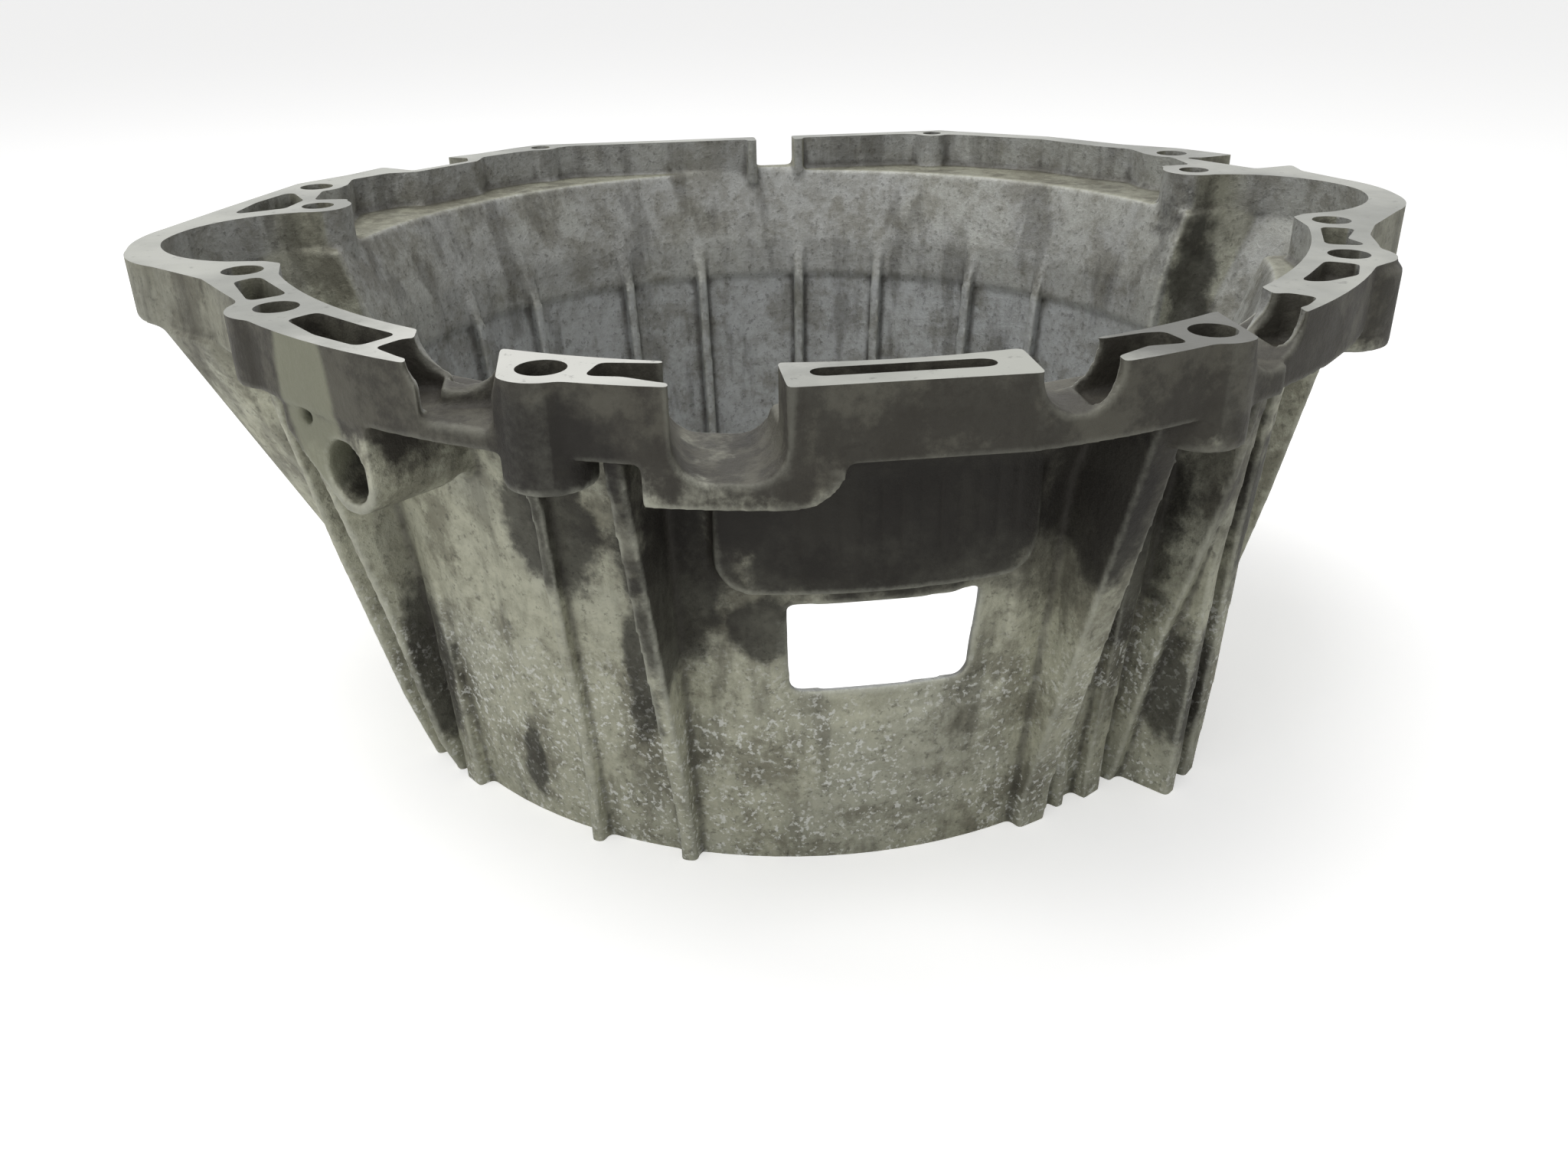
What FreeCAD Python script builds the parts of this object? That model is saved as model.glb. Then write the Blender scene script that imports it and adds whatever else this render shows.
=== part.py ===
import FreeCAD, Part
import os
import Sketcher
from FreeCAD import Placement, Rotation, Vector
from math import cos, degrees, hypot, radians, sin

# Cast bell housing, standing on its gearbox face with the engine face up.
# The bell axis is Z, the gearbox face is Z = 0, and the sensor side looks to -Y.
# A turn is an angle in degrees about the bell axis, measured from -Y towards +X.

os.makedirs("parts", exist_ok=True)
doc = FreeCAD.newDocument("bell_housing")

# ---------------------------------------------------------------- driving sizes
sizes = doc.addObject("Spreadsheet::Sheet", "sizes")
DRIVING = [
    ("height", 176, "gearbox face to engine face"),
    ("foot_radius", 150.5, "outside of the bell at the gearbox face"),
    ("neck_radius", 166.5, "outside of the bell where it starts to flare"),
    ("neck_height", 131, "height of the start of the flare"),
    ("flare_radius", 176, "outside of the bell under the rim"),
    ("wall", 5, "wall of the bell"),
    ("panel_recess", 1.2, "how far the panels between the inner ribs are set back"),
    ("panel_top", 113, "height of the top of those panels"),
    ("rim_depth", 20, "depth of the engine rim"),
    ("rim_radius", 203, "outside of the rim on the sensor side"),
    ("rim_side_radius", 200.5, "outside of the rim beside it"),
    ("rim_inner_radius", 183.5, "inside of the rim on the sensor side"),
    ("rim_flank_radius", 179.5, "inside of the rim beside it"),
    ("shelf_depth", 14.5, "engine face down to the shelf inside the rim"),
    ("mouth_radius", 170, "mouth of the bell at the shelf"),
    ("pocket_depth", 14, "depth of the lightening pockets in the rim"),
    ("shallow_pocket_depth", 6, "depth of the one shallow rim pocket"),
    ("skirt_drop", 140, "height of the cone under each lobe"),
    ("skirt_ratio", 0.68, "width of that cone at its foot against its top"),
    ("skirt_hollow_ratio", 0.672, "the same for the hollow inside it"),
    ("floor_thick", 12, "thickness of the gearbox flange"),
    ("gearbox_bore", 200, "bore through the gearbox flange"),
    ("gearbox_bolt_circle", 250, "bolt circle of the gearbox flange"),
    ("gearbox_bolt_hole", 11, "bolt hole in the gearbox flange"),
    ("gearbox_bolts", 8, "holes on that bolt circle"),
    ("bolt_hole", 13, "clearance hole for an M12 engine bolt"),
    ("bolt_hole_depth", 34, "depth drilled for the engine bolts"),
    ("lobe_hole", 12, "hole in the inner boss of each lobe"),
    ("lobe_hole_depth", 45, "depth drilled in that boss"),
    ("far_hole", 9, "small hole at each end of the far wall"),
    ("far_hole_depth", 24, "depth drilled there"),
    ("near_boss", 24, "boss of the two bolts on the sensor side"),
    ("near_boss_drop", 29.5, "length of those bosses"),
    ("side_boss", 28, "boss at each side of the rim"),
    ("lug_boss", 32, "thicker root of the right side boss"),
    ("lug_boss_drop", 27, "length of that root"),
    ("lobe_boss", 24.6, "inner boss of each lobe"),
    ("lobe_boss_drop", 72, "length of that boss"),
    ("corner_boss", 22, "boss at the far corner of each lobe"),
    ("far_boss", 16, "boss at each end of the far wall"),
    ("near_pitch", 170, "spacing of the two bolts on the sensor side"),
    ("side_pitch", 321, "spacing of the side boss bolts"),
    ("flank_pitch", 360, "spacing of the flank bolts"),
    ("lobe_pitch", 349, "spacing of the lobe boss holes"),
    ("corner_pitch", 364, "spacing of the far corner bolts"),
    ("far_pitch", 188, "spacing of the far wall holes"),
    ("near_row", -174.8, "place of the sensor side bolts along Y"),
    ("side_row", -104.2, "place of the side boss bolts along Y"),
    ("flank_row", -56.8, "place of the flank bolts along Y"),
    ("lobe_row", 45.6, "place of the lobe boss holes along Y"),
    ("corner_row", 87, "place of the far corner bolts along Y"),
    ("far_row", 168.7, "place of the far wall holes along Y"),
    ("sensor_turn", -47.7, "turn of the sensor boss"),
    ("sensor_reach", 201.4, "face of the sensor boss from the bell axis"),
    ("sensor_boss_depth", 41, "depth of the sensor boss, into the bell wall"),
    ("sensor_boss_side", -15.7, "straight side of the boss from the middle of its face"),
    ("sensor_boss_shoulder", 29, "that side's lower end below the engine face"),
    ("sensor_bore", 18, "bore for the speed sensor"),
    ("sensor_bore_length", 55, "length bored from the face of the boss"),
    ("sensor_bore_across", 11.6, "sensor bore from the middle of its face"),
    ("sensor_bore_drop", 35.8, "sensor bore below the engine face"),
    ("sensor_rim", 12.2, "radius of the boss round the sensor bore"),
    ("sensor_screw", 5, "tapping hole of the sensor screw"),
    ("sensor_screw_across", -3.7, "screw hole from the middle of its face"),
    ("sensor_screw_drop", 22.8, "screw hole below the engine face"),
    ("sensor_screw_depth", 16, "depth of the tapping hole"),
    ("window_left", -24, "left side of the inspection window"),
    ("window_right", 33, "right side of the inspection window"),
    ("window_bottom", 66, "sill of the inspection window"),
    ("window_top", 98, "head of the inspection window"),
    ("window_frame_left", -26, "left side of the sunk frame round the window"),
    ("window_frame_right", 44, "right side of the sunk frame"),
    ("window_frame_bottom", 56.5, "lower edge of the sunk frame"),
    ("window_frame_depth", 1.4, "how far the frame is sunk into the wall"),
    ("window_frame_corner", 9, "round of the frame's lower corners"),
    ("pad_radius", 170, "face of the grooved pad under the rim"),
    ("pad_left", -44.6, "left side of the grooved pad"),
    ("pad_right", 47.3, "right side of the grooved pad"),
    ("pad_bottom", 105, "lower edge of the grooved pad"),
    ("pad_corner", 11, "round of its lower corners"),
    ("pad_groove", 3.4, "width of a groove in the pad"),
    ("pad_groove_depth", 1.6, "depth of a groove"),
    ("pad_groove_length", 40, "length of a groove"),
    ("pad_groove_start", -7.1, "turn of the first groove"),
    ("pad_groove_step", 1.86, "turn from one groove to the next"),
    ("pad_grooves", 13, "grooves in the pad"),
    ("notch_skirt_drop", 31, "engine face down to the foot of the skirt under the near notch"),
    ("notch_skirt_start", -18.2, "turn of the left end of that skirt"),
    ("notch_skirt_end", -4.2, "turn of its right end"),
    ("inner_rib", 4.5, "thickness of the ribs inside the bell"),
    ("inner_rib_proud", 5, "how far those ribs stand out"),
]
for row, (alias, number, note) in enumerate(DRIVING, start=1):
    sizes.set(f"A{row}", alias)
    sizes.set(f"B{row}", str(number))
    sizes.set(f"C{row}", note)
    sizes.setAlias(f"B{row}", alias)
doc.recompute()


# ---------------------------------------------------------------- drawing helpers
def size(alias):
    return float(sizes.get(alias))


def number_of(entry):
    """An entry is a plain number or an expression on the sheet."""
    if isinstance(entry, str):
        result = sizes.evalExpression(entry)
        return float(getattr(result, "Value", result))
    return float(entry)


def polar(radius, turn):
    """Expressions for the point at a radius and a turn about the bell axis."""
    return f"({radius}) * sin({turn} deg)", f"-({radius}) * cos({turn} deg)"


def hold(sketch, kind, geometry, where, entry):
    """Tie one coordinate to its expression; a plain number stays as drawn."""
    if isinstance(entry, str):
        rule = Sketcher.Constraint(kind, geometry, where, number_of(entry))
        index = sketch.addConstraint(rule)
        sketch.setExpression(f"Constraints[{index}]", entry)


def draw(sketch, start, *steps):
    """Closed outline. A step is the next corner, or a point on an arc and the arc's end."""
    corner = start
    ends = []
    for step in list(steps) + [start]:
        is_arc = isinstance(step[0], tuple)
        target = step[1] if is_arc else step
        first = Vector(number_of(corner[0]), number_of(corner[1]), 0)
        last = Vector(number_of(target[0]), number_of(target[1]), 0)
        if first.distanceToPoint(last) < 1e-4:
            continue
        if is_arc:
            middle = Vector(number_of(step[0][0]), number_of(step[0][1]), 0)
            clockwise = (middle - first).cross(last - middle).z < 0
            points = (last, middle, first) if clockwise else (first, middle, last)
            geometry = sketch.addGeometry(Part.ArcOfCircle(*points), False)
            tail, head = (2, 1) if clockwise else (1, 2)
        else:
            geometry = sketch.addGeometry(Part.LineSegment(first, last), False)
            tail, head = 1, 2
        hold(sketch, "DistanceX", geometry, head, target[0])
        hold(sketch, "DistanceY", geometry, head, target[1])
        ends.append((geometry, tail, head))
        corner = target
    for (before, _, head), (after, tail, _) in zip(ends, ends[1:] + ends[:1]):
        sketch.addConstraint(Sketcher.Constraint("Coincident", before, head, after, tail))


def draw_rounded(sketch, radius, corners):
    """Closed outline of straight sides with every corner rounded."""
    steps = []
    for before, here, after in zip(corners[-1:] + corners[:-1], corners, corners[1:] + corners[:1]):
        point = Vector(number_of(here[0]), number_of(here[1]), 0)
        back = Vector(number_of(before[0]), number_of(before[1]), 0) - point
        ahead = Vector(number_of(after[0]), number_of(after[1]), 0) - point
        back.normalize()
        ahead.normalize()
        half = back.getAngle(ahead) / 2
        run = radius * cos(half) / sin(half)
        inwards = (back + ahead).normalize()
        middle = point + inwards * (radius / sin(half) - radius)
        arc_start = point + back * run
        arc_end = point + ahead * run
        steps.append((arc_start.x, arc_start.y))
        steps.append(((middle.x, middle.y), (arc_end.x, arc_end.y)))
    draw(sketch, steps[0], *steps[1:])


def ring(sketch, x, y, diameter):
    centre = Vector(number_of(x), number_of(y), 0)
    circle = Part.Circle(centre, Vector(0, 0, 1), number_of(diameter) / 2)
    geometry = sketch.addGeometry(circle, False)
    hold(sketch, "DistanceX", geometry, 3, x)
    hold(sketch, "DistanceY", geometry, 3, y)
    if isinstance(diameter, str):
        rule = Sketcher.Constraint("Radius", geometry, number_of(diameter) / 2)
        sketch.setExpression(f"Constraints[{sketch.addConstraint(rule)}]", f"({diameter}) / 2")


def pair(sketch, pitch, row, diameter):
    """Two rings, one to each side of the bell axis."""
    ring(sketch, f"-{pitch} / 2", row, diameter)
    ring(sketch, f"{pitch} / 2", row, diameter)


# ---------------------------------------------------------------- sketches and solids
def new_sketch(name):
    return doc.addObject("Sketcher::SketchObject", name)


def level_sketch(name, level="0"):
    """Sketch looking down, at a height."""
    sketch = new_sketch(name)
    sketch.setExpression("Placement.Base.z", level)
    return sketch


def front_sketch(name, reach="0"):
    """Upright sketch looking along +Y, standing this far out on the sensor side."""
    sketch = new_sketch(name)
    sketch.Placement = Placement(Vector(), Rotation(Vector(1, 0, 0), 90))
    sketch.setExpression("Placement.Base.y", f"-({reach})")
    return sketch


def solid(sketch, length, reverse=False, both_sides=False):
    """Sketch pulled into a solid of this length."""
    made = doc.addObject("Part::Extrusion", sketch.Name.replace("_sketch", ""))
    made.Base = sketch
    made.DirMode = "Normal"
    made.FaceMakerClass = "Part::FaceMakerBullseye"
    made.Solid = True
    made.Reversed = reverse
    made.Symmetric = both_sides
    made.setExpression("LengthFwd", length)
    return made


def turn_to(made, turn):
    """Turn a solid about the bell axis."""
    made.Placement = Placement(Vector(), Rotation(Vector(0, 0, 1), 90))
    made.setExpression("Placement.Rotation.Angle", f"mod({turn} + 720; 360)")
    return made


def rib_at(turn, name, thickness, *outline):
    """Upright rib on the half plane at a turn, drawn as radius and height."""
    sketch = front_sketch(f"{name}_sketch")
    draw(sketch, *outline)
    return turn_to(solid(sketch, thickness, both_sides=True), f"{turn} - 90")


def spun(sketch):
    """Sketch of radius and height turned once round the bell axis."""
    made = doc.addObject("Part::Revolution", sketch.Name.replace("_sketch", ""))
    made.Source = sketch
    made.Axis = Vector(0, 0, 1)
    made.Base = Vector()
    made.Angle = 360
    made.Solid = True
    return made


def joined(name, solids):
    made = doc.addObject("Part::MultiFuse", name)
    made.Shapes = solids
    made.Refine = False
    return made


def cut_from(name, base, tool):
    made = doc.addObject("Part::Cut", name)
    made.Base = base
    made.Tool = tool
    made.Refine = False
    return made


# A cutting tool starts this far clear of the metal, and a rib's root reaches in to this radius.
CLEAR = 5
RIB_ROOT = 120
TOP = "sizes.height"
ABOVE_TOP = f"{TOP} + {CLEAR}"
RIM_BOTTOM = "sizes.height - sizes.rim_depth"
SHELF = "sizes.height - sizes.shelf_depth"
outside = []
hollows = []
inside = []
cuts = []

# ---------------------------------------------------------------- grooved pad under the rim
pad_block = front_sketch("pad_block_sketch", str(RIB_ROOT))
pad_low = size("pad_bottom")
pad_round = size("pad_corner")
pad_bend = pad_round * (1 - cos(radians(45)))
left, right = size("pad_left"), size("pad_right")
draw(
    pad_block,
    ("sizes.pad_left", RIM_BOTTOM + " + 1"),
    ("sizes.pad_left", "sizes.pad_bottom + sizes.pad_corner"),
    ((left + pad_bend, pad_low + pad_bend), ("sizes.pad_left + sizes.pad_corner", "sizes.pad_bottom")),
    ("sizes.pad_right - sizes.pad_corner", "sizes.pad_bottom"),
    ((right - pad_bend, pad_low + pad_bend), ("sizes.pad_right", "sizes.pad_bottom + sizes.pad_corner")),
    ("sizes.pad_right", RIM_BOTTOM + " + 1"),
)
pad_blank = solid(pad_block, f"sizes.pad_radius - {RIB_ROOT} + {CLEAR}")

pad_turning = front_sketch("pad_turning_sketch")
draw(
    pad_turning,
    ("sizes.pad_radius", "sizes.pad_bottom - 5"),
    ("sizes.pad_radius + 20", "sizes.pad_bottom - 5"),
    ("sizes.pad_radius + 20", RIM_BOTTOM + " + 5"),
    ("sizes.pad_radius", RIM_BOTTOM + " + 5"),
)
pad_grooves = level_sketch("pad_grooves_sketch", RIM_BOTTOM)
for index in range(int(size("pad_grooves"))):
    turn = size("pad_groove_start") + size("pad_groove_step") * index
    half_turn = degrees(size("pad_groove") / 2 / size("pad_radius"))
    draw(
        pad_grooves,
        polar("sizes.pad_radius + 1", turn - half_turn),
        polar("sizes.pad_radius - sizes.pad_groove_depth", turn),
        polar("sizes.pad_radius + 1", turn + half_turn),
    )
pad_waste = joined(
    "pad_waste",
    [spun(pad_turning), solid(pad_grooves, "sizes.pad_groove_length", reverse=True)],
)
outside.append(cut_from("grooved_pad", pad_blank, pad_waste))

# ---------------------------------------------------------------- bell and lobe skirts
bell = front_sketch("bell_sketch")
draw(
    bell,
    (0, 0),
    ("sizes.foot_radius", 0),
    ("sizes.neck_radius", "sizes.neck_height"),
    ("sizes.flare_radius", RIM_BOTTOM),
    (0, RIM_BOTTOM),
)
outside.append(spun(bell))

SKIRT_FOOT = RIM_BOTTOM + " - sizes.skirt_drop"


def lobe_section(name, side, level, ratio, root, centre, radii, sweep, steps):
    """Plan of a lobe: an oval nose on a root inside the bell, shrunk towards the bell axis."""
    outline = [(root, centre[1] - radii[1] * 0.9)]
    for step in range(steps + 1):
        angle = radians(-sweep + 2 * sweep * step / steps)
        outline.append((centre[0] + radii[0] * cos(angle), centre[1] + radii[1] * sin(angle)))
    outline.append((root, centre[1] + radii[1] * 0.9))
    sketch = level_sketch(name, level)
    draw(sketch, *[(side * ratio * x, ratio * y) for x, y in outline])
    return sketch


def lobe_cone(name, side, top_level, foot_ratio, **plan):
    """Straight cone between the plan at the top and the same plan shrunk at the foot."""
    upper = lobe_section(f"{name}_top", side, top_level, 1, **plan)
    lower = lobe_section(f"{name}_foot", side, SKIRT_FOOT, size(foot_ratio), **plan)
    made = doc.addObject("Part::Loft", name)
    made.Sections = [upper, lower]
    made.Solid = True
    made.Ruled = True
    return made


SKIRT_PLAN = {"root": 110, "centre": (162, -5), "radii": (60, 72), "sweep": 78, "steps": 8}
HOLLOW_PLAN = {"root": 125, "centre": (184, -5.5), "radii": (32, 38), "sweep": 90, "steps": 7}
for word, side in (("left", -1), ("right", 1)):
    outside.append(lobe_cone(f"{word}_skirt", side, RIM_BOTTOM, "skirt_ratio", **SKIRT_PLAN))

# ---------------------------------------------------------------- ribs and fins outside
# Each has its turn, its thickness, and its outer edge as radius and height from the foot up.
OUTER_RIBS = {
    "left_buttress": (-20.9, 5.4, [(155.8, 0), (156.5, 13), (172, 66), (193, 139), (197, 157)]),
    "left_bead": (-33, 4.2, [(155.9, 0), (157.4, 37), (165.2, 85), (169.5, 125), (180, 157)]),
    "left_ridge": (-55, 9, [(156, 0), (157, 15), (161, 70), (163, 112)]),
    "sensor_fin": (-59, 4.2, [(156, 0), (161.4, 13), (171, 61), (181, 103), (188, 132), (188, 157)]),
    "left_fin": (-64.5, 5.2, [(158, 0), (160, 6), (166, 26), (180, 86), (190, 136), (193, 157)]),
    "right_buttress": (22.6, 11.5, [(155.5, 0), (157, 14), (170, 59), (186, 116), (197.5, 157)]),
    "right_foot": (27.9, 4, [(153.8, 0), (154.2, 8), (154.5, 18)]),
    "right_ridge": (33, 9, [(156, 0), (157, 20), (163, 80), (167, 120), (172, 140)]),
    "stepped_fin": (37.6, 4, [(155.8, 0), (158, 7), (169, 63), (175.5, 85), (184, 119), (190, 157)]),
    "slot_fin": (39.8, 6, [(175, 0), (178, 61), (179.5, 89), (185, 136), (188, 157)]),
    "tall_fin": (44.9, 8, [(174.5, 0), (177.3, 35), (180, 88), (184, 135), (187, 157)]),
    "right_fin": (64.5, 5.2, [(158, 0), (160, 6), (166, 26), (180, 86), (190, 136), (193, 157)]),
}
for name, (turn, thickness, edge) in OUTER_RIBS.items():
    root_top = (RIB_ROOT, edge[-1][1])
    outside.append(rib_at(turn, name, str(thickness), (RIB_ROOT, 0), *edge, root_top))

# ---------------------------------------------------------------- bosses outside
near_bosses = level_sketch("near_bosses_sketch", f"{TOP} - sizes.near_boss_drop")
pair(near_bosses, "sizes.near_pitch", "sizes.near_row", "sizes.near_boss")
outside.append(solid(near_bosses, "sizes.near_boss_drop"))

side_bosses = level_sketch("side_bosses_sketch", RIM_BOTTOM)
pair(side_bosses, "sizes.side_pitch", "sizes.side_row", "sizes.side_boss")
outside.append(solid(side_bosses, "sizes.rim_depth"))

lug = level_sketch("lug_sketch", f"{TOP} - sizes.lug_boss_drop")
ring(lug, "sizes.side_pitch / 2", "sizes.side_row", "sizes.lug_boss")
outside.append(solid(lug, "sizes.lug_boss_drop - 2.5"))

sensor_boss = front_sketch("sensor_boss_sketch", "sizes.sensor_reach")
bore_x = size("sensor_bore_across")
bore_z = size("height") - size("sensor_bore_drop")
boss_left = size("sensor_boss_side")
shoulder = size("height") - size("sensor_boss_shoulder")
away = hypot(bore_x - boss_left, bore_z - shoulder)
reach = (away ** 2 - size("sensor_rim") ** 2) ** 0.5
towards = Vector(bore_x - boss_left, bore_z - shoulder, 0) * (reach / away ** 2)
beside = Vector(towards.y, -towards.x, 0) * (size("sensor_rim") / reach)
touch = Vector(boss_left, shoulder, 0) + (towards + beside) * reach
draw(
    sensor_boss,
    (boss_left, TOP),
    (boss_left, shoulder),
    (touch.x, touch.y),
    ((bore_x, bore_z - size("sensor_rim")), (bore_x + size("sensor_rim"), bore_z)),
    (bore_x + size("sensor_rim"), TOP),
)
sensor_block = solid(sensor_boss, "sizes.sensor_boss_depth", reverse=True)
outside.append(turn_to(sensor_block, "sizes.sensor_turn"))

notch_skirt = level_sketch("notch_skirt_sketch", f"{TOP} - sizes.notch_skirt_drop")
skirt_start, skirt_end = size("notch_skirt_start"), size("notch_skirt_end")
skirt_middle = (skirt_start + skirt_end) / 2
SKIRT_INSIDE = "sizes.flare_radius - 16"
draw(
    notch_skirt,
    polar("sizes.rim_radius", skirt_start),
    (polar("sizes.rim_radius", skirt_middle), polar("sizes.rim_radius", skirt_end)),
    polar(SKIRT_INSIDE, skirt_end),
    (polar(SKIRT_INSIDE, skirt_middle), polar(SKIRT_INSIDE, skirt_start)),
)
notch_block = solid(notch_skirt, "sizes.notch_skirt_drop - sizes.rim_depth")

notch_ramp = front_sketch("notch_ramp_sketch", "sizes.rim_radius + 10")
ramp_low = f"{TOP} - sizes.notch_skirt_drop"
ramp_bend = size("height") - size("notch_skirt_drop") + 3
draw(
    notch_ramp,
    (-29, ramp_low),
    ((-19, ramp_bend), (-14, RIM_BOTTOM)),
    (-5, RIM_BOTTOM),
    (-5, f"{ramp_low} - 9"),
    (-29, f"{ramp_low} - 9"),
)
notch_waste = solid(notch_ramp, "sizes.rim_radius + 10 - sizes.flare_radius - 2", reverse=True)
outside.append(cut_from("notch_skirt_ramped", notch_block, notch_waste))

# ---------------------------------------------------------------- engine rim
rim = level_sketch("rim_sketch", RIM_BOTTOM)
draw(
    rim,
    polar("sizes.rim_radius", -9.07),
    polar("sizes.rim_radius", 9.07),
    (polar("sizes.rim_radius", 20), polar("sizes.rim_radius", 32.5)),
    polar("sizes.rim_side_radius", 33),
    (polar("sizes.rim_side_radius", 43), polar("sizes.rim_side_radius", 53)),
    (166, -117),
    (176, -94),
    (181, -80),
    (190, -67),
    (210, -47),
    ((220.5, -34.5), (225.5, -19)),
    ((226.6, -4), (222, 14)),
    (215.6, 34),
    (217.8, 47),
    (200, 43),
    (182, 75),
    (190, 73),
    (205.6, 77),
    (190, 99),
    (170, 115),
    (145, 145),
    (106, 172.5),
    (100, 177),
    (-95, 177),
    (-105, 171),
    (-122, 157.5),
    (-136, 150),
    (-126, 146),
    (-125, 137),
    (-147, 118),
    (-161, 129),
    (-173, 113),
    (-191, 96),
    (-210, 47),
    (-222, 14),
    ((-226.6, -4), (-225.5, -19)),
    ((-220.5, -35), (-210, -46)),
    (-190, -66),
    (-181, -82),
    (-174, -94),
    (-166, -117),
    polar("sizes.rim_radius", -52.5),
    (polar("sizes.rim_radius", -30), polar("sizes.rim_radius", -9.07)),
)
outside.append(solid(rim, "sizes.rim_depth"))

# ---------------------------------------------------------------- hollow of the bell
TAPER = "(sizes.neck_radius - sizes.foot_radius) / sizes.neck_height"
bore = front_sketch("bore_sketch")
draw(
    bore,
    (0, "sizes.floor_thick"),
    (f"sizes.foot_radius - sizes.wall + sizes.floor_thick * {TAPER}", "sizes.floor_thick"),
    (f"sizes.foot_radius - sizes.wall + sizes.panel_top * {TAPER}", "sizes.panel_top"),
    (
        f"sizes.foot_radius - sizes.wall - sizes.panel_recess + sizes.panel_top * {TAPER}",
        "sizes.panel_top + 1.5 * sizes.panel_recess",
    ),
    ("sizes.neck_radius - sizes.wall - sizes.panel_recess", "sizes.neck_height"),
    ("sizes.mouth_radius", SHELF),
    ("sizes.mouth_radius", TOP),
    (0, TOP),
)
hollows.append(spun(bore))

mouth = level_sketch("mouth_sketch", SHELF)
draw(
    mouth,
    polar("sizes.rim_inner_radius", -37),
    (polar("sizes.rim_inner_radius", 0), polar("sizes.rim_inner_radius", 37)),
    polar("sizes.rim_flank_radius", 37.5),
    (polar("sizes.rim_flank_radius", 53), polar("sizes.rim_flank_radius", 69)),
    (170, -49),
    (176, -45),
    (188, -43.5),
    ((206, -32), (217, -8)),
    ((209.5, 16), (184, 33)),
    (165, 36),
    (165, 57),
    (178, 58),
    (178, 77),
    (170, 88),
    (169, 101),
    (157, 113),
    (139, 138),
    (105, 161),
    (80, 170),
    (-80, 170),
    (-105, 157),
    (-119, 147),
    (-121, 136),
    (-145, 114),
    (-157, 113),
    (-170, 101),
    (-170, 88),
    (-178, 77),
    (-178, 58),
    (-165, 57),
    (-165, 36),
    (-184, 33),
    ((-209.5, 16), (-217, -8)),
    ((-206, -32), (-188, -43.5)),
    (-176, -45),
    (-170, -49),
    polar("sizes.rim_flank_radius", -69),
    (polar("sizes.rim_flank_radius", -53), polar("sizes.rim_flank_radius", -37.5)),
)
hollows.append(solid(mouth, f"sizes.shelf_depth + {CLEAR}"))

for word, side in (("left", -1), ("right", 1)):
    hollows.append(lobe_cone(f"{word}_hollow", side, SHELF, "skirt_hollow_ratio", **HOLLOW_PLAN))

# ---------------------------------------------------------------- bosses and ribs inside
lobe_bosses = level_sketch("lobe_bosses_sketch", f"{TOP} - sizes.lobe_boss_drop")
pair(lobe_bosses, "sizes.lobe_pitch", "sizes.lobe_row", "sizes.lobe_boss")
inside.append(solid(lobe_bosses, "sizes.lobe_boss_drop"))

corner_bosses = level_sketch("corner_bosses_sketch", RIM_BOTTOM)
pair(corner_bosses, "sizes.corner_pitch", "sizes.corner_row", "sizes.corner_boss")
inside.append(solid(corner_bosses, "sizes.rim_depth"))

far_bosses = level_sketch("far_bosses_sketch", RIM_BOTTOM)
pair(far_bosses, "sizes.far_pitch", "sizes.far_row", "sizes.far_boss")
inside.append(solid(far_bosses, "sizes.rim_depth"))

jambs = level_sketch("jambs_sketch", RIM_BOTTOM)
for jamb in (3.5, 26):
    draw(jambs, (jamb, 166), (jamb + 4.5, 166), (jamb + 4.5, 173), (jamb, 173))
inside.append(solid(jambs, "sizes.rim_depth"))


def inner_radius(level):
    """Inside of the bell below the flare."""
    slope = (size("neck_radius") - size("foot_radius")) / size("neck_height")
    return size("foot_radius") - size("wall") + slope * level


inner_foot = size("floor_thick") - 1
inner_top = size("neck_height") + 7
proud = size("inner_rib_proud")
for index, turn in enumerate((126, 139.5, 156.5, 170.5, 188, 201.5, 220, 233), start=1):
    inside.append(rib_at(
        turn, f"inner_rib_{index}", "sizes.inner_rib",
        (inner_radius(inner_foot) - proud, inner_foot),
        (inner_radius(size("panel_top")) - proud, size("panel_top")),
        (inner_radius(inner_top), inner_top),
        (inner_radius(inner_top) + size("wall") / 2, inner_top),
        (inner_radius(inner_foot) + size("wall") / 2, inner_foot),
    ))

# ---------------------------------------------------------------- gearbox flange
gearbox_flange = level_sketch("gearbox_flange_sketch", str(-CLEAR))
ring(gearbox_flange, 0, 0, "sizes.gearbox_bore")
for index in range(int(size("gearbox_bolts"))):
    turn = 360 * (index + 0.5) / size("gearbox_bolts")
    ring(gearbox_flange, *polar("sizes.gearbox_bolt_circle / 2", turn), "sizes.gearbox_bolt_hole")
cuts.append(solid(gearbox_flange, f"sizes.floor_thick + 2 * {CLEAR}"))

# ---------------------------------------------------------------- inspection window and scoop
window = front_sketch("window_sketch", "sizes.rim_radius")
draw(
    window,
    ("sizes.window_left", "sizes.window_top"),
    ("sizes.window_left + 1", "sizes.window_bottom + 4"),
    (
        (size("window_left") + 2.2, size("window_bottom") + 1.2),
        ("sizes.window_left + 5", "sizes.window_bottom"),
    ),
    ("sizes.window_right - 6", "sizes.window_bottom"),
    (
        (size("window_right") - 3.2, size("window_bottom") + 1.2),
        ("sizes.window_right - 2", "sizes.window_bottom + 4"),
    ),
    ("sizes.window_right", "sizes.window_top"),
)
cuts.append(solid(window, f"sizes.rim_radius - {RIB_ROOT} - {CLEAR}", reverse=True))

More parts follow.
